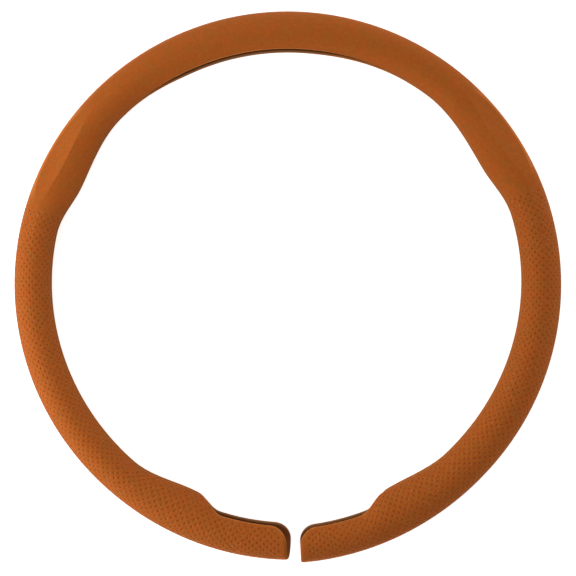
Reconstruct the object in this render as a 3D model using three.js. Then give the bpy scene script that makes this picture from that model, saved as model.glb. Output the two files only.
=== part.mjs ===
// A push-on steering wheel cover: one moulded sleeve of C section, bent round into an open ring.
// It lies flat on its back, front face up. +Z is up, +Y points to 12 o'clock, and the origin is the
// middle of its footprint, on the surface that it lies on. Lengths are in mm and angles in degrees.
import * as THREE from "three";

// The ring and its section
const OUTER_DIAMETER = 386.4; // across the cover, lying relaxed
const TUBE_DEPTH = 34; // front to back
const WALL = 2.2; // of the moulding
const TOP_REACH = { front: 27.15, back: 27.7 }; // from the outer edge to each lip at 12 o'clock
const NECK_REACH = 26.4; // the same where the lips have closed, above the thumb swells

// How far each lip curls round the section, counted from the outer edge
const TOP_WRAP = 140;
const CLOSED_WRAP = 162;

// The two ends at 6 o'clock
const CORNER_RADIUS = 12.5; // where each lip turns into its end
const END_ROUND_DEPTH = 1.1; // of the rolled edge of each end, through the wall
const END_ROUND_LENGTH = 2.4; // of the same, along the ring

// The flat palm facet on the outer shoulder of each thumb swell, and the ridge along it
const FACET_LENGTH = 23; // along the ring, in degrees
const RIDGE_WRAP = 86; // where the ridge lies on the section, at the facet's middle
const SHOULDER_WRAP = 10; // where the facet's other edge lies there
const FACET_TIP_WRAPS = [56, 72]; // where the two edges have come together, at the facet's tips
const PLAIN_WRAPS = [30, 90]; // where those two lines run on the round part of the ring
const FACET_RUN_OUT = 9; // how far past the facet's tips the lines settle, in degrees
const INNER_SLOPE_END = 148; // where the flattened slope inside the ridge ends
const INNER_FLATNESS = 0.45; // 0 leaves that slope round, 1 makes it flat

// Each half runs from 12 o'clock at 0 degrees to its end near 180. A relaxed cover is a little
// uneven, so the halves have sizes of their own. A reach is a length from the outer edge. The wall
// behind stops at the notch a little before the wall in front.
const RIGHT = {
  side: 1,
  lipsClose: [6, 32],
  thumb: { from: 38, peak: 61.5, to: 74.5, reach: 32.3 },
  facetAt: 56.5,
  gripReach: [27.2, 29.3],
  heel: { from: 138.5, peak: 154.5, reach: 33.6 },
  notch: { front: [157.4, 164.8], back: [155.8, 163.2] },
  end: { reach: 24.8, wrap: 139, fromMiddle: 1.9 },
  sag: 0.6,
  tipFlare: 3,
  tipLean: 0,
};
const LEFT = {
  side: -1,
  lipsClose: [22, 39],
  thumb: { from: 43, peak: 62.5, to: 75, reach: 31.6 },
  facetAt: 58,
  gripReach: [25.7, 26.5],
  heel: { from: 136.5, peak: 153, reach: 33 },
  notch: { front: [155.1, 162], back: [154.2, 161.1] },
  end: { reach: 24.5, wrap: 128, fromMiddle: 6.8 },
  sag: 1.3,
  tipFlare: 1,
  tipLean: 3.6,
};
const SAG_AT = 133; // where a half of the ring lies a little inside the circle
const SAG_SPREAD = 42;
const FLARE_FROM = 135; // where a half starts to spring outwards, towards its end
const FLARE_POWER = 1.5; // 1 springs outwards evenly, more keeps it for the end

// How finely the surface is divided
const STATION_STEPS = [
  [0, 36, 6],
  [36, 76, 2.5],
  [76, 136, 6],
  [136, 154, 3],
  [154, 165, 1.1],
];
const END_STEPS = 3; // between the notch and the corner
const CORNER_STEPS = 7;
const SHOULDER_STEPS = 2; // from the outer edge to the shoulder line
const SHOULDER_LIMIT = 0.25; // how much of the way to the lip they take at most
const FACET_STEPS = 4; // from the shoulder line to the ridge line
const FACET_LIMIT = 0.6; // where on the way to the lip they end at the latest
const SLOPE_STEPS = 6; // from the ridge line to the lip
const INSIDE_STEPS = 10; // from the middle of the inside to a lip
const LIP_STEPS = 3; // round the edge of a lip

const HALF_DEPTH = TUBE_DEPTH / 2;

function degreesAlong(length) {
  return THREE.MathUtils.radToDeg(length / (OUTER_DIAMETER / 2));
}

function tipAngle(half) {
  return 180 - degreesAlong(half.end.fromMiddle);
}

function ramp(x, from, to) {
  return THREE.MathUtils.smoothstep(x, from, to);
}

const mix = THREE.MathUtils.lerp;

// The length along the ring from a station to the end of its half
function lengthToEnd(half, angle) {
  return THREE.MathUtils.degToRad(tipAngle(half) - angle) * (OUTER_DIAMETER / 2);
}

// The ring's outer radius: a circle that sags a little and springs outwards at its end
function outerRadius(half, angle) {
  const sag = half.sag * Math.exp(-(((angle - SAG_AT) / SAG_SPREAD) ** 2));
  const towardsTip = Math.max(0, (angle - FLARE_FROM) / (tipAngle(half) - FLARE_FROM));
  return OUTER_DIAMETER / 2 - sag + half.tipFlare * towardsTip ** FLARE_POWER;
}

// How far a face reaches inwards from the outer edge, before the notch and the end's corner
function swelledReach(half, angle, face) {
  const { thumb, heel, gripReach } = half;
  const neck = mix(TOP_REACH[face], NECK_REACH, ramp(angle, ...half.lipsClose));
  const grip = mix(...gripReach, ramp(angle, thumb.to, heel.from));
  if (angle < thumb.peak) return mix(neck, thumb.reach, ramp(angle, thumb.from, thumb.peak));
  if (angle < thumb.to) return mix(thumb.reach, grip, ramp(angle, thumb.peak, thumb.to));
  return mix(grip, heel.reach, ramp(angle, heel.from, heel.peak));
}

// The ellipse that a face follows at a station, and how far its lip goes round it
function faceAt(half, angle, face) {
  const closed = mix(TOP_WRAP, CLOSED_WRAP, ramp(angle, ...half.lipsClose));
  const notched = ramp(angle, ...half.notch[face]);
  const reach = swelledReach(half, angle, face);
  const roundedOff = (degrees) => 1 - Math.cos(THREE.MathUtils.degToRad(degrees));
  const endWidth = half.end.reach / roundedOff(half.end.wrap);
  const halfWidth = mix(reach / roundedOff(closed), endWidth, notched);
  const intoCorner = Math.max(0, 1 - lengthToEnd(half, angle) / CORNER_RADIUS);
  const cornerDrop = CORNER_RADIUS * (1 - Math.sqrt(1 - intoCorner ** 2));
  const lipReach = mix(reach, half.end.reach, notched) - cornerDrop;
  return { halfWidth, wrap: THREE.MathUtils.radToDeg(Math.acos(1 - lipReach / halfWidth)) };
}

function sectionAt(half, angle) {
  const front = faceAt(half, angle, "front");
  const back = faceAt(half, angle, "back");
  return { front, back, ...facetAt(half, angle) };
}

// Where the shoulder and ridge lines run, and how much of the flat facet there is between them
function facetAt(half, angle) {
  const fromMiddle = Math.abs(angle - half.facetAt) / (FACET_LENGTH / 2);
  if (fromMiddle < 1) {
    const share = 1 - fromMiddle ** 2;
    return {
      shoulder: mix(FACET_TIP_WRAPS[0], SHOULDER_WRAP, share),
      ridge: mix(FACET_TIP_WRAPS[1], RIDGE_WRAP, share),
      flatness: 1,
      slopeFlatness: INNER_FLATNESS * share,
    };
  }
  const pastTip = (fromMiddle - 1) * (FACET_LENGTH / 2);
  const settled = ramp(pastTip, 0, FACET_RUN_OUT);
  return {
    shoulder: mix(FACET_TIP_WRAPS[0], PLAIN_WRAPS[0], settled),
    ridge: mix(FACET_TIP_WRAPS[1], PLAIN_WRAPS[1], settled),
    flatness: 1 - settled,
    slopeFlatness: 0,
  };
}

// A point of a face: x is the length inwards from the outer edge, y the height from mid-depth
function ellipsePoint({ halfWidth }, wrap) {
  const turn = THREE.MathUtils.degToRad(wrap);
  return new THREE.Vector2(halfWidth * (1 - Math.cos(turn)), HALF_DEPTH * Math.sin(turn));
}

function chordPoint(face, from, to, wrap) {
  const start = ellipsePoint(face, from);
  return start.lerp(ellipsePoint(face, to), (wrap - from) / (to - from));
}

// A point of the skin, where turns below zero lead round the back
function skinPoint(section, wrap) {
  const { shoulder, ridge, flatness, slopeFlatness } = section;
  const face = wrap < 0 ? section.back : section.front;
  const turned = Math.abs(wrap);
  const point = ellipsePoint(face, turned);
  if (turned > shoulder && turned < ridge) {
    point.lerp(chordPoint(face, shoulder, ridge, turned), flatness);
  } else if (turned > ridge && turned < INNER_SLOPE_END) {
    point.lerp(chordPoint(face, ridge, INNER_SLOPE_END, turned), slopeFlatness);
  }
  return wrap < 0 ? new THREE.Vector2(point.x, -point.y) : point;
}

// The direction from the skin into the hollow of the sleeve
function inwardNormal(section, wrap) {
  const step = 0.5;
  const along = skinPoint(section, wrap + step).sub(skinPoint(section, wrap - step));
  return new THREE.Vector2(along.y, -along.x).normalize();
}

function evenly(from, to, steps) {
  return Array.from({ length: steps }, (_, i) => mix(from, to, (i + 1) / steps));
}

// The closed outline of the wall at a station: the skin from the back lip round to the front lip,
// the front lip's edge, the inside back again and the back lip's edge
function wallOutline(half, angle) {
  const section = sectionAt(half, angle);
  const { front, back } = section;
  const skinTurns = ({ wrap }) => {
    const shoulder = Math.min(section.shoulder, wrap * SHOULDER_LIMIT);
    const ridge = Math.min(section.ridge, wrap * FACET_LIMIT);
    return [
      ...evenly(0, shoulder, SHOULDER_STEPS),
      ...evenly(shoulder, ridge, FACET_STEPS),
      ...evenly(ridge, wrap, SLOPE_STEPS),
    ];
  };
  const insideTurns = ({ wrap }) => evenly(0, wrap, INSIDE_STEPS);
  const bothWays = (turns) => [...turns(back).toReversed().map((t) => -t), 0, ...turns(front)];

  const intoRound = Math.max(0, 1 - lengthToEnd(half, angle) / END_ROUND_LENGTH);
  const rolledIn = END_ROUND_DEPTH * (1 - Math.sqrt(1 - intoRound ** 2));
  const onWall = (turn, depth) =>
    skinPoint(section, turn).addScaledVector(inwardNormal(section, turn), depth);
  const lipEdge = (turn) => {
    const middle = onWall(turn, (rolledIn + WALL) / 2);
    const fromMiddle = onWall(turn, rolledIn).sub(middle);
    const spin = (Math.sign(turn) * Math.PI) / LIP_STEPS;
    return evenly(0, LIP_STEPS, LIP_STEPS)
      .slice(0, -1)
      .map((step) => fromMiddle.clone().rotateAround(new THREE.Vector2(), -spin * step).add(middle));
  };
  return [
    ...bothWays(skinTurns).map((turn) => onWall(turn, rolledIn)),
    ...lipEdge(front.wrap),
    ...bothWays(insideTurns).toReversed().map((turn) => onWall(turn, WALL)),
    ...lipEdge(-back.wrap).toReversed(),
  ];
}

// Sets a station's outline in its place on the ring
function placeOutline(half, angle, outline) {
  const turn = THREE.MathUtils.degToRad(angle) * half.side;
  const outwards = new THREE.Vector3(Math.sin(turn), Math.cos(turn), 0);
  const towardsTip = new THREE.Vector3(outwards.y, -outwards.x, 0).multiplyScalar(half.side);
  const leaning = half.tipLean * ramp(angle, half.notch.front[0], tipAngle(half));
  return outline.map(({ x, y }) =>
    outwards
      .clone()
      .multiplyScalar(outerRadius(half, angle) - x)
      .addScaledVector(towardsTip, (-y / TUBE_DEPTH) * leaning)
      .setZ(HALF_DEPTH + y),
  );
}

// The angles of a half's stations, closer together where the shape changes fast
function stationAngles(half) {
  const angles = STATION_STEPS.flatMap(([from, to, step]) =>
    evenly(from, to, Math.round((to - from) / step)),
  );
  const cornerStart = tipAngle(half) - degreesAlong(CORNER_RADIUS);
  const corner = evenly(0, Math.PI / 2, CORNER_STEPS).map(
    (turn) => cornerStart + degreesAlong(CORNER_RADIUS * Math.sin(turn)),
  );
  return [...angles, ...evenly(angles.at(-1), cornerStart, END_STEPS), ...corner];
}

// Joins the stations' outlines into one closed skin, with a flat cap on each end
function loft(outlines) {
  const around = outlines[0].length;
  const faces = [];
  for (let s = 0; s + 1 < outlines.length; s++) {
    for (let p = 0; p < around; p++) {
      const near = [s * around + p, s * around + ((p + 1) % around)];
      const far = near.map((corner) => corner + around);
      faces.push(near[0], near[1], far[0], near[1], far[1], far[0]);
    }
  }
  const last = (outlines.length - 1) * around;
  const flat = wallOutline(LEFT, tipAngle(LEFT));
  for (const [a, b, c] of THREE.ShapeUtils.triangulateShape(flat, [])) {
    faces.push(a, b, c);
    faces.push(last + a, last + c, last + b);
  }
  const geometry = new THREE.BufferGeometry().setFromPoints(outlines.flat());
  geometry.setIndex(faces);
  geometry.computeVertexNormals();
  return geometry;
}

// Moves the origin to the middle of the shape's footprint
function centred(geometry) {
  geometry.computeBoundingBox();
  const middle = geometry.boundingBox.getCenter(new THREE.Vector3());
  return geometry.translate(-middle.x, -middle.y, -geometry.boundingBox.min.z);
}

function coverGeometry() {
  const outlinesOf = (half) =>
    stationAngles(half).map((angle) => placeOutline(half, angle, wallOutline(half, angle)));
  const top = placeOutline(RIGHT, 0, wallOutline(RIGHT, 0));
  return loft([...outlinesOf(LEFT).toReversed(), top, ...outlinesOf(RIGHT)]);
}

const tan = new THREE.MeshStandardMaterial({
  name: "tan_suede",
  color: 0xa5582a,
  roughness: 0.9,
  metalness: 0,
});
const cover = new THREE.Mesh(centred(coverGeometry()), tan);
cover.name = "wheel_cover";

const steeringWheelCover = new THREE.Group();
steeringWheelCover.add(cover);

export default steeringWheelCover;
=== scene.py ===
import math

import bmesh
import bpy
import numpy as np
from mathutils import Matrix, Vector, geometry


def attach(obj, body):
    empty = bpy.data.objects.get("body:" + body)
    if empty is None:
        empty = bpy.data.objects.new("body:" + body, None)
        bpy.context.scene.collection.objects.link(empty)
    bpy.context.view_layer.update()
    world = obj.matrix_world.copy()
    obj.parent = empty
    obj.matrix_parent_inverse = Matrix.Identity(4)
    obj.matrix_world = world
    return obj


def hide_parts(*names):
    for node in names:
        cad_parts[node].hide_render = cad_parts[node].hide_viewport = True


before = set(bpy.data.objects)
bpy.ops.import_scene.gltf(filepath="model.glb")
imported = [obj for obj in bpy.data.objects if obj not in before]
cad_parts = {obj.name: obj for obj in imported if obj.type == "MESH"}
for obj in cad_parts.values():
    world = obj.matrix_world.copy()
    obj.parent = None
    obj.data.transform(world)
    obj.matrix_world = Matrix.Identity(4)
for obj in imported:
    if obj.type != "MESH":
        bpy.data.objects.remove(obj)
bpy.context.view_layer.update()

MM = 0.001

# The cover's own sizes, in millimetres and degrees, as the solid has them. A reach is a length
# inwards from the outer edge, a wrap an angle round the section from there, and every other angle
# goes round the ring from 12 o'clock.
OUTER_RADIUS = 193.2
HALF_DEPTH = 17
WALL = 2.2
TOP_REACH = {"front": 27.15, "back": 27.7}
NECK_REACH = 26.4
TOP_WRAP = 140
CLOSED_WRAP = 162
CORNER_RADIUS = 12.5
END_ROUND_DEPTH = 1.1
END_ROUND_LENGTH = 2.4

# A palm facet, stretched between a shoulder line and a ridge line. Its length and its run-out are
# in degrees too. The wraps in pairs are those of the shoulder and the ridge, at the facet's tips
# and where there is no facet.
FACET_LENGTH = 23
RIDGE_WRAP = 86
SHOULDER_WRAP = 10
FACET_TIP_WRAPS = (56, 72)
PLAIN_WRAPS = (30, 90)
FACET_RUN_OUT = 9
INNER_SLOPE_END = 148
INNER_FLATNESS = 0.45

# How the relaxed moulding departs from a true ring: it sags low down and flares at its ends
SAG_AT = 133
SAG_SPREAD = 42
FLARE_FROM = 135
FLARE_POWER = 1.5

# The two halves, which aren't quite alike
RIGHT = {
    "side": 1,
    "lips_close": (6, 32),
    "thumb": {"start": 38, "peak": 61.5, "end": 74.5, "reach": 32.3},
    "facet_at": 56.5,
    "grip_reach": (27.2, 29.3),
    "heel": {"start": 138.5, "peak": 154.5, "reach": 33.6},
    "notch": {"front": (157.4, 164.8), "back": (155.8, 163.2)},
    "end_reach": 24.8,
    "end_wrap": 139,
    "end_from_middle": 1.9,
    "sag": 0.6,
    "tip_flare": 3,
    "tip_lean": 0,
}
LEFT = {
    "side": -1,
    "lips_close": (22, 39),
    "thumb": {"start": 43, "peak": 62.5, "end": 75, "reach": 31.6},
    "facet_at": 58,
    "grip_reach": (25.7, 26.5),
    "heel": {"start": 136.5, "peak": 153, "reach": 33},
    "notch": {"front": (155.1, 162), "back": (154.2, 161.1)},
    "end_reach": 24.5,
    "end_wrap": 128,
    "end_from_middle": 6.8,
    "sag": 1.3,
    "tip_flare": 1,
    "tip_lean": 3.6,
}

# The perforation: rows that run along the ring, each half a pitch on from its neighbours. The
# pitch is true at the pitch radius, and the row spacing on an ellipse of the row half width.
PERFORATED_FROM = 70.3
PITCH = 5.08
ROW_SPACING = 2.44
HOLE_RADIUS = 0.5
HOLE_DEPTH = 0.15
HOLE_SIDES = 8
HOLE_MARGIN = 1.7
PITCH_RADIUS = 179
ROW_HALF_WIDTH = 14.6


# The shape of the skin. A turn is a wrap that is negative on the back face.
NORMAL_STEP = 0.5


def ramp(x, low, high):
    """Goes from 0 to 1 between low and high, with a soft start and end."""
    t = np.clip((x - low) / (high - low), 0, 1)
    return t * t * (3 - 2 * t)


def mix(a, b, share):
    """Goes evenly from a to b as the share goes from 0 to 1."""
    return a + (b - a) * share


def tip_angle(half):
    """Where a half ends."""
    return 180 - math.degrees(half["end_from_middle"] / OUTER_RADIUS)


def length_to_end(half, angle):
    """The length round the ring from here to the end of the half."""
    return np.radians(tip_angle(half) - angle) * OUTER_RADIUS


def quarter_round(into):
    """How far a quarter circle has dropped, as a share of its radius, this share of the way along it."""
    return 1 - np.sqrt(1 - np.clip(into, 0, 1) ** 2)


def outer_radius(half, angle):
    """The ring's radius at its outer edge, with its sag and its flare."""
    sag = half["sag"] * np.exp(-(((angle - SAG_AT) / SAG_SPREAD) ** 2))
    towards_tip = np.clip((angle - FLARE_FROM) / (tip_angle(half) - FLARE_FROM), 0, 1)
    return OUTER_RADIUS - sag + half["tip_flare"] * towards_tip**FLARE_POWER


def swelled_reach(half, angle, face):
    """How far a face reaches inwards, with its thumb swell and its heel lobe."""
    thumb, heel = half["thumb"], half["heel"]
    neck = mix(TOP_REACH[face], NECK_REACH, ramp(angle, *half["lips_close"]))
    grip = mix(*half["grip_reach"], ramp(angle, thumb["end"], heel["start"]))
    above = mix(neck, thumb["reach"], ramp(angle, thumb["start"], thumb["peak"]))
    below = mix(thumb["reach"], grip, ramp(angle, thumb["peak"], thumb["end"]))
    low = mix(grip, heel["reach"], ramp(angle, heel["start"], heel["peak"]))
    return np.where(angle < thumb["peak"], above, np.where(angle < thumb["end"], below, low))


def rounded_off(degrees):
    """The reach of this wrap round a circle, as a share of its radius."""
    return 1 - np.cos(np.radians(degrees))


def section_width(half, angle, face):
    """Half the width of the ellipse that a face follows."""
    closed = mix(TOP_WRAP, CLOSED_WRAP, ramp(angle, *half["lips_close"]))
    swelled = swelled_reach(half, angle, face) / rounded_off(closed)
    end_width = half["end_reach"] / rounded_off(half["end_wrap"])
    return mix(swelled, end_width, ramp(angle, *half["notch"][face]))


def lip_wrap(half, angle, face):
    """How far a face's lip goes round the section."""
    corner_drop = CORNER_RADIUS * quarter_round(1 - length_to_end(half, angle) / CORNER_RADIUS)
    notched = ramp(angle, *half["notch"][face])
    reach = mix(swelled_reach(half, angle, face), half["end_reach"], notched) - corner_drop
    return np.degrees(np.arccos(1 - reach / section_width(half, angle, face)))


def facet_lines(half, angle):
    """Where the shoulder and the ridge of the palm facet run, and how flat it is on each side of it."""
    from_middle = np.abs(angle - half["facet_at"]) / (FACET_LENGTH / 2)
    share = np.clip(1 - from_middle**2, 0, 1)
    settled = ramp((from_middle - 1) * (FACET_LENGTH / 2), 0, FACET_RUN_OUT)
    on_facet = from_middle < 1
    tips, plain = FACET_TIP_WRAPS, PLAIN_WRAPS
    shoulder = np.where(on_facet, mix(tips[0], SHOULDER_WRAP, share), mix(tips[0], plain[0], settled))
    ridge = np.where(on_facet, mix(tips[1], RIDGE_WRAP, share), mix(tips[1], plain[1], settled))
    return shoulder, ridge, 1 - settled, INNER_FLATNESS * share


def ellipse_point(width, turn):
    """The point at this wrap of an ellipse of this half width, on the front face."""
    turn = np.radians(turn)
    return np.stack([width * (1 - np.cos(turn)), HALF_DEPTH * np.sin(turn)], axis=-1)


def chord_point(width, start, end, turn):
    """The point at this wrap of the straight line between two points of the ellipse."""
    share = ((turn - start) / (end - start))[..., None]
    return mix(ellipse_point(width, start), ellipse_point(width, end), share)


def profile(half, angle, turn):
    """Points of the skin's section: the length inwards from the outer edge, and the height."""
    width = np.where(turn < 0, section_width(half, angle, "back"), section_width(half, angle, "front"))
    shoulder, ridge, flatness, slope_flatness = facet_lines(half, angle)
    turned = np.abs(turn)
    point = ellipse_point(width, turned)
    facet = mix(point, chord_point(width, shoulder, ridge, turned), flatness[..., None])
    slope_end = np.full_like(ridge, INNER_SLOPE_END)
    slope = mix(point, chord_point(width, ridge, slope_end, turned), slope_flatness[..., None])
    point = np.where(((turned > shoulder) & (turned < ridge))[..., None], facet, point)
    point = np.where(((turned > ridge) & (turned < INNER_SLOPE_END))[..., None], slope, point)
    point[..., 1] *= np.where(turn < 0, -1, 1)
    return point


def inward_normal(half, angle, turn):
    """The direction across the wall, from how the skin runs a little to each side."""
    along = profile(half, angle, turn + NORMAL_STEP) - profile(half, angle, turn - NORMAL_STEP)
    normal = np.stack([along[..., 1], -along[..., 0]], axis=-1)
    return normal / np.linalg.norm(normal, axis=-1, keepdims=True)


def on_wall(half, angle, turn, depth):
    """Points at these depths under the skin, in the section's own plane."""
    return profile(half, angle, turn) + inward_normal(half, angle, turn) * np.asarray(depth)[..., None]


def in_place(half, angle, point):
    """Sets points of the section in their place on the ring."""
    turn = np.radians(angle) * half["side"]
    outwards = np.stack([np.sin(turn), np.cos(turn)], axis=-1)
    to_tip = np.stack([outwards[..., 1], -outwards[..., 0]], axis=-1) * half["side"]
    lean = half["tip_lean"] * ramp(angle, half["notch"]["front"][0], tip_angle(half))
    flat = outwards * (outer_radius(half, angle) - point[..., 0])[..., None]
    flat = flat + to_tip * (-point[..., 1] / (2 * HALF_DEPTH) * lean)[..., None]
    return np.concatenate([flat, HALF_DEPTH + point[..., 1:]], axis=-1)


def rolled_in(half, angle):
    """How deep the skin has turned in, on the rounded edge of an end."""
    return END_ROUND_DEPTH * quarter_round(1 - length_to_end(half, angle) / END_ROUND_LENGTH)


# The stations of a half, which stand closer where the shape turns more. The roll turn is how far
# the lip has turned into its corner where the perforated skin gives way to the rounded end.
FACETS_FROM = 36
NOTCH_ZONE = (150, 166)
STATION_STEP = {"top": 2, "facet": 1, "grip": 2, "notch": 0.8, "short_lip": 1.5}
CORNER_STATIONS = 9
ROLL_TURN = 50


def steps(low, high, stretch):
    """Even stations up to this one, without the first."""
    return np.linspace(low, high, round((high - low) / STATION_STEP[stretch]) + 1)[1:]


def corner_angles(half, low, high):
    """Stations round the corner of a lip, evenly spaced by the direction that the lip has turned."""
    turned = np.radians(np.linspace(low, high, CORNER_STATIONS))
    return tip_angle(half) - np.degrees(CORNER_RADIUS * (1 - np.sin(turned)) / OUTER_RADIUS)


SMOOTH_ANGLES = np.concatenate([
    [0], steps(0, FACETS_FROM, "top"), steps(FACETS_FROM, PERFORATED_FROM, "facet"),
])


def perforated_angles(half):
    """Stations along the edges of the perforated skin."""
    corner = corner_angles(half, 0, ROLL_TURN)
    return np.concatenate([
        [PERFORATED_FROM],
        steps(PERFORATED_FROM, NOTCH_ZONE[0], "grip"),
        steps(*NOTCH_ZONE, "notch"),
        steps(NOTCH_ZONE[1], corner[0], "short_lip"),
        corner[1:],
    ])


def end_angles(half):
    """Stations from the perforated skin to the tip."""
    return corner_angles(half, ROLL_TURN, 90)


# Rows of the smooth skin from the middle of the outer edge, as shares of each stretch between the
# shoulder, the ridge and the lip. They crowd at the ridge, which is crisp. Where the wrap is short,
# the shoulder and the ridge stay within these shares of it.
SHOULDER_LIMIT = 0.25
RIDGE_LIMIT = 0.6
OUTER_SHARES = (0.25, 0.5, 0.75, 1)
FACET_SHARES = (0.14, 0.28, 0.42, 0.56, 0.7, 0.84, 0.96, 1)
INNER_SHARES = (0.035, 0.11, 0.19, 0.27, 0.35, 0.43, 0.51, 0.59, 0.67, 0.75, 0.83, 0.89, 0.95, 1)
END_ROWS = 40
INSIDE_ROWS = 12
LIP_ROWS = 4

# How strongly the painted highlight lies on a ridge, beside 1 for a shoulder, and within how many degrees
# a row counts as lying on one
RIDGE_HIGHLIGHT = 0.25
SAME_TURN = 0.001

# How many degrees before and past the start of the back notch its lip comes into sight
BACK_LIP_SHOWS = (-1, 2)

# Points that are closer than this are one, and so are points alike to this many decimals
WELD = 0.001
WELD_DECIMALS = 4

# The materials in the order of the object's slots
SKIN, HOLE, LINING = range(3)


class Mesh:
    """Gathers patches of points and faces. Points that coincide are welded at the end. Marks are
    values from 0 to 1 at the points, which the materials read by name."""

    def __init__(self):
        self.points, self.faces, self.kinds = [], [], []
        self.marks = {"rim": [], "crest": [], "lip": [], "bare_lip": []}
        self.count = 0

    def add(self, points, faces, kind, **marks):
        points = np.asarray(points, float).reshape(-1, 3)
        self.faces += [[self.count + i for i in face] for face in faces]
        self.kinds += [kind] * len(faces)
        self.points.append(points)
        for name, gathered in self.marks.items():
            gathered.append(np.broadcast_to(marks.get(name, 0.0), len(points)))
        self.count += len(points)

    def add_grid(self, points, kind, **marks):
        rows, columns = points.shape[:2]
        faces = [
            (r * columns + c, r * columns + c + 1, (r + 1) * columns + c + 1, (r + 1) * columns + c)
            for r in range(rows - 1)
            for c in range(columns - 1)
        ]
        self.add(points, faces, kind, **marks)


def face_turns(half, angles, face):
    """The lines of a face's smooth skin at each station, which follow the shoulder and the ridge."""
    wrap = lip_wrap(half, angles, face)
    shoulder, ridge, _, _ = facet_lines(half, angles)
    shoulder = np.minimum(shoulder, wrap * SHOULDER_LIMIT)
    ridge = np.minimum(ridge, wrap * RIDGE_LIMIT)
    lines = [np.zeros_like(wrap), shoulder, ridge, wrap]
    columns = []
    for start, end, shares in zip(lines, lines[1:], (OUTER_SHARES, FACET_SHARES, INNER_SHARES)):
        columns += [mix(start, end, share) for share in shares]
    return np.stack(columns, axis=1)


def both_faces(half, angles, turns_of):
    """The turns of both faces at each station, from the back lip to the front lip."""
    front, back = turns_of(half, angles, "front"), turns_of(half, angles, "back")
    return np.concatenate([-back[:, ::-1], np.zeros((len(front), 1)), front], axis=1)


def skin_turns(half, angles):
    """The lines of the smooth skin over both faces."""
    return both_faces(half, angles, face_turns)


def even_turns(half, angles, rows):
    """This many rows at each station, evenly spaced from lip to lip."""
    shares = np.linspace(0, 1, rows // 2 + 1)[1:]
    return both_faces(half, angles, lambda *place: lip_wrap(*place)[:, None] * shares)


def grid_points(half, angles, turns, depth):
    """The points at these turns of each station, at one depth or at one for each station."""
    spread = np.broadcast_to(angles[:, None], turns.shape)
    depths = np.broadcast_to(np.asarray(depth, float).reshape(-1, 1), turns.shape)
    return in_place(half, spread, on_wall(half, spread, turns, depths))


def facet_crests(half, angles, turns):
    """How strongly a painted highlight lies on a palm facet: most from the outer edge to its shoulder, and
    a little at its ridge, the lines that catch the light."""
    shoulder, ridge, _, slope_flatness = (line[:, None] for line in facet_lines(half, angles))
    turned = np.abs(turns)
    at_ridge = np.where(np.abs(turned - ridge) < SAME_TURN, RIDGE_HIGHLIGHT, 0)
    highlighted = np.where(turned < shoulder + SAME_TURN, 1, at_ridge)
    return highlighted * slope_flatness / INNER_FLATNESS


def add_smooth_skin(mesh, half):
    """The skin across the top and over the thumb swell, with its palm facet."""
    turns = skin_turns(half, SMOOTH_ANGLES)
    # A painted highlight along the palm facet, from its outer edge to its shoulder and at its ridge
    crests = facet_crests(half, SMOOTH_ANGLES, turns).ravel()
    mesh.add_grid(grid_points(half, SMOOTH_ANGLES, turns, 0), SKIN, crest=crests)


def lip_rows(half, angles, face):
    """The rounded edge of a lip, from the skin to the inside."""
    sign = 1 if face == "front" else -1
    wrap = lip_wrap(half, angles, face) * sign
    outer = on_wall(half, angles, wrap, rolled_in(half, angles))
    inner = on_wall(half, angles, wrap, np.full_like(angles, WALL))
    middle = (outer + inner) / 2
    arm = outer - middle
    rows = []
    for step in range(LIP_ROWS + 1):
        spin = -sign * math.pi * step / LIP_ROWS
        turned = np.stack([
            arm[:, 0] * math.cos(spin) - arm[:, 1] * math.sin(spin),
            arm[:, 0] * math.sin(spin) + arm[:, 1] * math.cos(spin),
        ], axis=-1)
        rows.append(in_place(half, angles, middle + turned))
    rows[0] = in_place(half, angles, outer)
    rows[-1] = in_place(half, angles, inner)
    return np.stack(rows)


def mouth_open(half, angles):
    """How far apart the lips stand: 1 where the back lip shows past the front one, 0 where not."""
    at_top = 1 - ramp(angles, *half["lips_close"])
    notch_start = half["notch"]["back"][0]
    at_end = ramp(angles, *(notch_start + degrees for degrees in BACK_LIP_SHOWS))
    return np.maximum(at_top, at_end)


def add_inside_and_lips(mesh, half):
    """The inside face of the wall, and the edges of both lips."""
    angles = np.concatenate([SMOOTH_ANGLES, perforated_angles(half)[1:], end_angles(half)[1:]])
    mesh.add_grid(grid_points(half, angles, even_turns(half, angles, INSIDE_ROWS), WALL), LINING)
    for face in ("front", "back"):
        rows = lip_rows(half, angles, face)
        bare = np.tile(mouth_open(half, angles), len(rows)) if face == "back" else 0.0
        # The lip mark paints the lips' edges paler: the cut edge of the skin, with a painted highlight
        mesh.add_grid(rows, SKIN, lip=1.0, bare_lip=bare)


def add_end(mesh, half):
    """The rounded edge of an end, and its flat face."""
    angles = end_angles(half)
    turns = even_turns(half, angles, END_ROWS)
    points = grid_points(half, angles, turns, rolled_in(half, angles))
    mesh.add_grid(points, SKIN)
    tip = angles[-1:]
    inside = grid_points(half, tip, even_turns(half, tip, INSIDE_ROWS), WALL)[0]
    front, back = (lip_rows(half, tip, face)[1:-1, 0] for face in ("front", "back"))
    outline = np.concatenate([points[-1], front, inside[::-1], back[::-1]])
    mesh.add(outline, [range(len(outline))], SKIN)


# The perforated skin is laid out flat, as a sheet: u runs along the ring and v round the section.
# The tables pair each half degree round the ellipse with the length of its arc up to there.
TURN_TABLE = np.linspace(0, 179, 359)
TABLE_POINTS = ellipse_point(np.full_like(TURN_TABLE, ROW_HALF_WIDTH), TURN_TABLE)
SPAN_TABLE = np.append(0, np.cumsum(np.linalg.norm(np.diff(TABLE_POINTS, axis=0), axis=1)))

# Where the lattice of the skin's points lies between the holes, as shares of a pitch and of a row
BETWEEN_HOLES = ((0.5, 0), (0.25, 0.5), (0.75, 0.5))

# The fill of the sheet: triangles inside the border only, and points closer than this are one
FILL_INSIDE = 1
FILL_WELD = 1e-6


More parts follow.
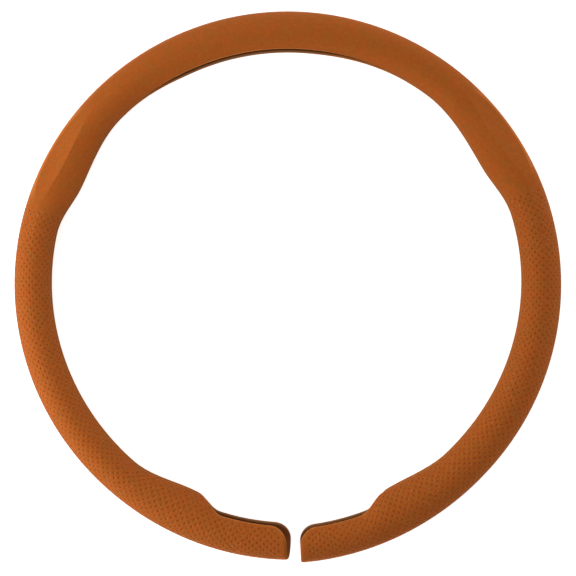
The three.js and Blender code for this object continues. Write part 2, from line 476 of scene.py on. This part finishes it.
def to_sheet(angle, turn):
    """The place on the sheet of this angle round the ring and turn of the section."""
    v = np.sign(turn) * np.interp(np.abs(turn), TURN_TABLE, SPAN_TABLE)
    return np.stack([np.radians(angle) * PITCH_RADIUS, v], axis=-1)


def from_sheet(uv):
    """The angles and turns of these places on the sheet."""
    turn = np.sign(uv[:, 1]) * np.interp(np.abs(uv[:, 1]), SPAN_TABLE, TURN_TABLE)
    return np.degrees(uv[:, 0] / PITCH_RADIUS), turn


def sheet_outline(half):
    """The edge of the perforated sheet, as (angle, turn) pairs in order."""
    stations = perforated_angles(half)
    first = skin_turns(half, stations[:1])[0]
    last = even_turns(half, stations[-1:], END_ROWS)[0]
    middle = stations[1:-1]
    angles = np.concatenate([
        np.full_like(first, stations[0]), middle,
        np.full_like(last, stations[-1]), middle[::-1],
    ])
    front, back = (lip_wrap(half, middle, face) for face in ("front", "back"))
    return angles, np.concatenate([first, front, last[::-1], -back[::-1]])


def clear_of(points, outline, margin):
    """Which points lie inside the outline, and at least this far from it."""
    inside = np.zeros(len(points), bool)
    nearest = np.full(len(points), np.inf)
    for start, end in zip(outline, np.roll(outline, -1, axis=0)):
        along = end - start
        crosses = (start[1] > points[:, 1]) != (end[1] > points[:, 1])
        if along[1]:
            crossing = start[0] + (points[:, 1] - start[1]) * along[0] / along[1]
            inside ^= crosses & (points[:, 0] < crossing)
        share = np.clip((points - start) @ along / (along @ along), 0, 1)
        nearest = np.minimum(nearest, np.linalg.norm(points - start - share[:, None] * along, axis=1))
    return inside & (nearest > margin)


def lattice(outline, shift):
    """The points of the perforation's lattice, moved by this share of a pitch and of a row."""
    low, high = outline.min(axis=0), outline.max(axis=0)
    rows = np.arange(math.floor(low[1] / ROW_SPACING), math.ceil(high[1] / ROW_SPACING) + 1)
    columns = np.arange(math.floor(low[0] / PITCH), math.ceil(high[0] / PITCH) + 1)
    return np.array([
        ((c + 0.5 * (r % 2) + shift[0]) * PITCH, (r + shift[1]) * ROW_SPACING)
        for r in rows for c in columns
    ])


def hole_centres(outline):
    """The lattice's points that lie far enough inside the sheet for a hole."""
    holes = lattice(outline, (0, 0))
    return holes[clear_of(holes, outline, HOLE_MARGIN)]


def points_between(outline):
    """The points that carry the skin's curve between the holes."""
    between = np.concatenate([lattice(outline, shift) for shift in BETWEEN_HOLES])
    return between[clear_of(between, outline, HOLE_RADIUS)]


def hole_rims(centres):
    """The corners of the rims, hole after hole."""
    spin = np.arange(HOLE_SIDES) * 2 * math.pi / HOLE_SIDES
    circle = np.stack([np.cos(spin), np.sin(spin)], axis=-1) * HOLE_RADIUS
    return (centres[:, None] + circle).reshape(-1, 2)


def loop_edges(first, count):
    """The edges of a closed loop of points that follow each other in the list."""
    return [(first + i, first + (i + 1) % count) for i in range(count)]


def sheet_triangles(flat, outline, first_rim):
    """Triangles that fill the sheet between its outline, whose points come first in the list, and
    the rims of the holes, whose points come last."""
    border = loop_edges(0, len(outline))
    for rim in range(first_rim, len(flat), HOLE_SIDES):
        border += loop_edges(rim, HOLE_SIDES)
    points = [Vector(point) for point in flat]
    _, _, faces, origins, _, _ = geometry.delaunay_2d_cdt(points, border, [], FILL_INSIDE, FILL_WELD, True)
    triangles = np.array([[origins[i][0] for i in face] for face in faces])
    # A rim's corners have the number of their hole, and every other point one of its own
    hole_of = np.where(triangles >= first_rim, (triangles - first_rim) // HOLE_SIDES, -1 - triangles)
    in_hole = (hole_of == hole_of[:, :1]).all(axis=1)
    on_sheet = clear_of(flat[triangles].mean(axis=1), outline, 0)
    return triangles[on_sheet & ~in_hole]


def add_holes(mesh, half, centres, rims):
    """A wall and a flat floor under each rim, which make a blind hole."""
    angles, turns = from_sheet(centres)
    surface, floor = (
        in_place(half, angles, on_wall(half, angles, turns, np.full_like(angles, depth)))
        for depth in (0, HOLE_DEPTH)
    )
    floor_rings = rims + (floor - surface)[:, None]
    wall = [(i, j, HOLE_SIDES + j, HOLE_SIDES + i) for i, j in loop_edges(0, HOLE_SIDES)]
    bottom = tuple(range(HOLE_SIDES, 2 * HOLE_SIDES))
    for rim, floor_ring in zip(rims, floor_rings):
        mesh.add(np.concatenate([rim, floor_ring]), wall + [bottom], HOLE, rim=1.0)


def add_perforated_skin(mesh, half):
    """The skin over the grip and the heel lobe, with its holes."""
    edge_angles, edge_turns = sheet_outline(half)
    outline = to_sheet(edge_angles, edge_turns)
    centres = hole_centres(outline)
    rims = hole_rims(centres)
    flat = np.concatenate([outline, points_between(outline), rims])
    first_rim = len(flat) - len(rims)
    angles, turns = from_sheet(flat)
    angles[:len(outline)], turns[:len(outline)] = edge_angles, edge_turns
    skin = in_place(half, angles, on_wall(half, angles, turns, rolled_in(half, angles)))
    rim_marks = (np.arange(len(flat)) >= first_rim).astype(float)
    mesh.add(skin, sheet_triangles(flat, outline, first_rim).tolist(), SKIN, rim=rim_marks)
    add_holes(mesh, half, centres, skin[first_rim:].reshape(-1, HOLE_SIDES, 3))


# The object
def gathered_cover():
    """All patches of both halves."""
    mesh = Mesh()
    for half in (LEFT, RIGHT):
        add_smooth_skin(mesh, half)
        add_perforated_skin(mesh, half)
        add_inside_and_lips(mesh, half)
        add_end(mesh, half)
    return mesh


def welded(mesh):
    """The points without repeats, and for each gathered point its place among them."""
    points = np.concatenate(mesh.points)
    _, first, merged = np.unique(
        np.round(points, WELD_DECIMALS), axis=0, return_index=True, return_inverse=True)
    return points[first], merged.ravel()


def mesh_data(mesh, points, merged):
    """The Blender mesh, in metres, with the marks as attributes of its points."""
    data = bpy.data.meshes.new("wheel_cover_skin")
    data.from_pydata((points * MM).tolist(), [], [[merged[i] for i in face] for face in mesh.faces])
    for name, gathered in mesh.marks.items():
        values = np.zeros(len(points))
        np.maximum.at(values, merged, np.concatenate(gathered))
        data.attributes.new(name, "FLOAT", "POINT").data.foreach_set("value", values)
    data.polygons.foreach_set("material_index", mesh.kinds)
    data.polygons.foreach_set("use_smooth", [True] * len(mesh.faces))
    return data


def finish_surface(data):
    """Welds the seams, turns the faces outwards and keeps the edges of the holes crisp."""
    editable = bmesh.new()
    editable.from_mesh(data)
    bmesh.ops.remove_doubles(editable, verts=editable.verts, dist=WELD * MM)
    bmesh.ops.recalc_face_normals(editable, faces=editable.faces)
    for edge in editable.edges:
        edge.smooth = HOLE not in {face.material_index for face in edge.link_faces}
    editable.to_mesh(data)
    editable.free()


def cover_object():
    """The cover, set with the middle of its footprint at the origin, and where that middle is
    measured from the ring's own centre, in millimetres."""
    mesh = gathered_cover()
    points, merged = welded(mesh)
    low, high = points.min(axis=0), points.max(axis=0)
    middle = np.array([(low[0] + high[0]) / 2, (low[1] + high[1]) / 2, 0])
    data = mesh_data(mesh, points - middle, merged)
    finish_surface(data)
    cover = bpy.data.objects.new("wheel_cover_skin", data)
    bpy.context.scene.collection.objects.link(cover)
    return cover, middle


# Materials
class Nodes:
    """Short ways to add shader nodes to one material."""

    def __init__(self, name):
        self.material = bpy.data.materials.new(name)
        self.material.use_nodes = True
        self.tree = self.material.node_tree
        self.shader = self.tree.nodes["Principled BSDF"]
        self.object_space = self.add("ShaderNodeTexCoord").outputs["Object"]

    def add(self, kind, **settings):
        node = self.tree.nodes.new(kind)
        for name, value in settings.items():
            setattr(node, name, value)
        return node

    def link(self, value, socket):
        if isinstance(value, bpy.types.NodeSocket):
            self.tree.links.new(value, socket)
        else:
            socket.default_value = value

    def math(self, operation, *values):
        node = self.add("ShaderNodeMath", operation=operation)
        for value, socket in zip(values, node.inputs):
            self.link(value, socket)
        return node.outputs[0]

    def noise(self, size, detail, roughness):
        """Noise whose blotches are about this size, in millimetres."""
        node = self.add("ShaderNodeTexNoise")
        self.link(self.object_space, node.inputs["Vector"])
        node.inputs["Scale"].default_value = 1 / (size * MM)
        node.inputs["Detail"].default_value = detail
        node.inputs["Roughness"].default_value = roughness
        return node.outputs["Fac"]

    def attribute(self, name):
        return self.add("ShaderNodeAttribute", attribute_name=name).outputs["Fac"]

    def spread(self, value, low, high):
        """The value with the stretch from low to high made 0 to 1."""
        node = self.add("ShaderNodeMapRange")
        for entry, socket in zip((value, low, high), node.inputs):
            self.link(entry, socket)
        return node.outputs[0]

    def blend(self, share, first, second):
        node = self.add("ShaderNodeMix", data_type="RGBA")
        self.link(share, node.inputs["Factor"])
        self.link(first, node.inputs["A"])
        self.link(second, node.inputs["B"])
        return node.outputs["Result"]

    def lay_over(self, base, tone, mark, share):
        """Lays a colour over the base, by this share where the mark is full."""
        return self.blend(self.math("MULTIPLY", mark, share), base, tone)

    def bump(self, height, distance, strength, below=None):
        node = self.add("ShaderNodeBump")
        node.inputs["Strength"].default_value = strength
        node.inputs["Distance"].default_value = distance * MM
        self.link(height, node.inputs["Height"])
        if below:
            self.link(below, node.inputs["Normal"])
        return node.outputs["Normal"]


def colour(*screen_levels):
    """A colour given as it looks on screen, with red, green and blue from 0 to 255."""
    levels = [level / 255 for level in screen_levels]
    linear = [x / 12.92 if x <= 0.04045 else ((x + 0.055) / 1.055) ** 2.4 for x in levels]
    return (*linear, 1)


TAN = colour(158, 86, 27)
TAN_RED = colour(171, 81, 24)
TAN_DARK = colour(146, 72, 18)
TAN_LIGHT = colour(180, 98, 34)
# Painted highlight: the pale tan laid on the palm facet's shoulder and ridge
FACET_HIGHLIGHT_TAN = colour(216, 126, 62)
# The lips' pale edge: the skin's cut edge, with a painted highlight where the rounded edge catches the
# light
LIP_EDGE_AND_HIGHLIGHT_TAN = colour(192, 118, 56)
# Painted glints: pale specks on the hole rims that stand for light caught there
GLINT_TAN = colour(210, 146, 92)
BARE_LIP = colour(150, 104, 64)
# Painted shade: the browner tone in the holes and round their rims
HOLE_SHADE_BROWN = colour(166, 74, 14)
# The inside face's browns are darker than the skin's: painted shade on the inside
LINING_BROWN = colour(150, 86, 38)
LINING_DARK = colour(126, 70, 28)
SHEEN_TINT = colour(255, 165, 100)

# Noise patterns, as the size of their blotches in millimetres, detail and roughness
NAP = (8, 4, 0.5)
MOTTLE = (2.6, 3, 0.65)
FIBRE = (1.1, 4, 0.7)
# The noise of the painted glints on the hole rims
RIM_GLINT_SPECKS = (1.6, 2, 0.5)
HOLE_GRAIN = (0.4, 2, 0.5)
LINING_GRAIN = (0.8, 3, 0.5)
LINING_CLOUD = (9, 2, 0.5)

# The stretch of a noise that is spread from 0 to 1
SUEDE_SPREAD = (0.35, 0.65)
GLINT_SPREAD = (0.56, 0.66)
CLOUD_SPREAD = (0.3, 0.7)

# How much of each colour is laid over the suede, where its pattern or mark is full
MOTTLE_SHARE = 0.45
FIBRE_SHARE = 0.45
RIM_SHADE_SHARE = 0.25
GLINT_SHARE = 0.65
FACET_HIGHLIGHT_SHARE = 0.8
LIP_SHARE = 0.6
BARE_LIP_SHARE = 0.85

# A mark fades from its points to the next ones. This power keeps it close to them.
MARK_POWER = 3.0

# The relief of the surfaces, as its depth in millimetres and its strength
DIMPLE_RELIEF = (0.4, 1.0)
MOTTLE_RELIEF = (0.12, 0.6)
FIBRE_RELIEF = (0.08, 0.7)
LINING_RELIEF = (0.1, 0.5)


def suede_colour(nodes, mottle, fibre, rim):
    """Red and brown nap with paler and darker fibres, painted shade in the dimples, painted glints on the
    hole rims, a painted highlight on the facet's shoulder and ridge, and lips paler as a cut edge with a
    painted highlight.
    """
    nap = nodes.spread(nodes.noise(*NAP), *SUEDE_SPREAD)
    # Painted glints: pale specks of this noise, only on the hole rims
    tips = nodes.math("MULTIPLY", rim, nodes.spread(nodes.noise(*RIM_GLINT_SPECKS), *GLINT_SPREAD))
    lip, bare_lip = (
        nodes.math("POWER", nodes.attribute(name), MARK_POWER) for name in ("lip", "bare_lip")
    )
    base = nodes.blend(nap, TAN_RED, TAN)
    base = nodes.lay_over(base, TAN_LIGHT, mottle, MOTTLE_SHARE)
    base = nodes.lay_over(base, TAN_DARK, fibre, FIBRE_SHARE)
    # Painted shade round each hole's rim
    base = nodes.lay_over(base, HOLE_SHADE_BROWN, rim, RIM_SHADE_SHARE)
    base = nodes.lay_over(base, GLINT_TAN, tips, GLINT_SHARE)
    # Painted highlight on the palm facet's shoulder and ridge
    base = nodes.lay_over(base, FACET_HIGHLIGHT_TAN, nodes.attribute("crest"), FACET_HIGHLIGHT_SHARE)
    # Paler lips: the cut edge, with a painted highlight
    base = nodes.lay_over(base, LIP_EDGE_AND_HIGHLIGHT_TAN, lip, LIP_SHARE)
    return nodes.lay_over(base, BARE_LIP, bare_lip, BARE_LIP_SHARE)


def suede():
    """The skin: dull, with a warm sheen, a fine nap and a dimple at each hole."""
    nodes = Nodes("tan_suede")
    shader = nodes.shader
    mottle = nodes.spread(nodes.noise(*MOTTLE), *SUEDE_SPREAD)
    fibre = nodes.spread(nodes.noise(*FIBRE), *SUEDE_SPREAD)
    rim = nodes.math("POWER", nodes.attribute("rim"), MARK_POWER)
    nodes.link(suede_colour(nodes, mottle, fibre, rim), shader.inputs["Base Color"])
    shader.inputs["Roughness"].default_value = 0.85
    shader.inputs["Specular IOR Level"].default_value = 0.12
    shader.inputs["Sheen Weight"].default_value = 0.9
    shader.inputs["Sheen Roughness"].default_value = 0.25
    shader.inputs["Sheen Tint"].default_value = SHEEN_TINT
    dimple = nodes.bump(nodes.math("MULTIPLY", rim, -1.0), *DIMPLE_RELIEF)
    uneven = nodes.bump(mottle, *MOTTLE_RELIEF, below=dimple)
    nodes.link(nodes.bump(fibre, *FIBRE_RELIEF, below=uneven), shader.inputs["Normal"])
    return nodes.material


def hole_wall():
    """The walls and floors of the holes, in darker browns as painted shade."""
    nodes = Nodes("hole_wall")
    grain = nodes.noise(*HOLE_GRAIN)
    nodes.link(nodes.blend(grain, HOLE_SHADE_BROWN, TAN_DARK), nodes.shader.inputs["Base Color"])
    nodes.shader.inputs["Roughness"].default_value = 0.95
    return nodes.material


def lining():
    """The plain inside face, a cloudy brown painted darker than the skin as painted shade."""
    nodes = Nodes("lining")
    grain = nodes.noise(*LINING_GRAIN)
    cloud = nodes.spread(nodes.noise(*LINING_CLOUD), *CLOUD_SPREAD)
    share = nodes.math("MULTIPLY", nodes.math("ADD", grain, cloud), 0.5)
    nodes.link(nodes.blend(share, LINING_BROWN, LINING_DARK), nodes.shader.inputs["Base Color"])
    nodes.shader.inputs["Roughness"].default_value = 0.85
    nodes.shader.inputs["Specular IOR Level"].default_value = 0.15
    nodes.link(nodes.bump(grain, *LINING_RELIEF), nodes.shader.inputs["Normal"])
    return nodes.material


# The studio, in metres. The floor and the sky are whiter to the camera alone.
WHITE = (1, 1, 1, 1)
FLOOR_SIZE = 6
FLOOR_COLOUR = (0.86, 0.86, 0.86, 1)
FLOOR_WHITE = 0.75
SKY_STRENGTH = 0.42
LAMP_SIZE = 0.5

# The camera, by the photograph: what a pixel covers at the ring, and where the ring's centre is
SENSOR_WIDTH = 36
CAMERA_DISTANCE = 1.5
PIXEL = 0.706 * MM
IMAGE_SIDE = 576
RING_CENTRE_PX = (287.7, 285.2)
CAMERA_ROLL = math.radians(2.2)


def studio_floor():
    """A plain pale floor, which keeps the cover's shadow."""
    nodes = Nodes("studio_floor")
    nodes.shader.inputs["Base Color"].default_value = FLOOR_COLOUR
    nodes.shader.inputs["Roughness"].default_value = 0.9
    path = nodes.add("ShaderNodeLightPath")
    nodes.shader.inputs["Emission Color"].default_value = WHITE
    nodes.link(nodes.math("MULTIPLY", path.outputs["Is Camera Ray"], FLOOR_WHITE),
               nodes.shader.inputs["Emission Strength"])
    data = bpy.data.meshes.new("studio_floor")
    edge = FLOOR_SIZE / 2
    corners = [(-edge, -edge, 0), (edge, -edge, 0), (edge, edge, 0), (-edge, edge, 0)]
    data.from_pydata(corners, [], [range(len(corners))])
    data.materials.append(nodes.material)
    ground = bpy.data.objects.new("studio_floor", data)
    bpy.context.scene.collection.objects.link(ground)


def lamp(name, bearing, height, distance, power):
    """A square soft light that faces the ring, at this bearing from +X and height above it in
    degrees."""
    data = bpy.data.lights.new(name, "AREA")
    data.size = LAMP_SIZE
    data.energy = power
    light = bpy.data.objects.new(name, data)
    bearing, height = math.radians(bearing), math.radians(height)
    out = Vector((math.cos(bearing), math.sin(bearing), math.tan(height))).normalized()
    light.location = out * distance
    light.rotation_euler = (-out).to_track_quat("-Z", "Y").to_euler()
    bpy.context.scene.collection.objects.link(light)


def studio_light():
    """A soft white sky, and soft lights that are strongest from the left."""
    world = bpy.data.worlds.new("studio")
    bpy.context.scene.world = world
    world.use_nodes = True
    tree = world.node_tree
    background = tree.nodes["Background"]
    background.inputs["Color"].default_value = WHITE
    seen = tree.nodes.new("ShaderNodeLightPath").outputs["Is Camera Ray"]
    strength = tree.nodes.new("ShaderNodeMapRange")
    strength.inputs["To Min"].default_value = SKY_STRENGTH
    tree.links.new(seen, strength.inputs["Value"])
    tree.links.new(strength.outputs["Result"], background.inputs["Strength"])
    lamp("key_light", bearing=195, height=40, distance=0.6, power=1.6)
    lamp("near_light", bearing=120, height=40, distance=0.6, power=0.3)
    lamp("left_light", bearing=200, height=12, distance=1.1, power=5.5)
    lamp("top_light", bearing=88, height=12, distance=1.1, power=3.8)
    lamp("right_light", bearing=0, height=12, distance=1.1, power=3.4)


def studio_camera(ring_centre):
    """Looks straight down on the ring, turned as the photograph's ring is."""
    data = bpy.data.cameras.new("camera")
    data.sensor_width = SENSOR_WIDTH
    data.lens = SENSOR_WIDTH * CAMERA_DISTANCE / (IMAGE_SIDE * PIXEL)
    camera = bpy.data.objects.new("camera", data)
    right = (IMAGE_SIDE / 2 - RING_CENTRE_PX[0]) * PIXEL
    up = (RING_CENTRE_PX[1] - IMAGE_SIDE / 2) * PIXEL
    cos, sin = math.cos(-CAMERA_ROLL), math.sin(-CAMERA_ROLL)
    camera.location = (
        ring_centre[0] + right * cos - up * sin,
        ring_centre[1] + right * sin + up * cos,
        HALF_DEPTH * MM + CAMERA_DISTANCE,
    )
    camera.rotation_euler = (0, 0, -CAMERA_ROLL)
    bpy.context.scene.collection.objects.link(camera)
    bpy.context.scene.camera = camera


cover, footprint_middle = cover_object()
for material in (suede(), hole_wall(), lining()):
    cover.data.materials.append(material)
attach(cover, "root")
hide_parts("wheel_cover")
studio_floor()
studio_light()
studio_camera((-footprint_middle[0] * MM, -footprint_middle[1] * MM))
bpy.context.scene.view_settings.view_transform = "Standard"
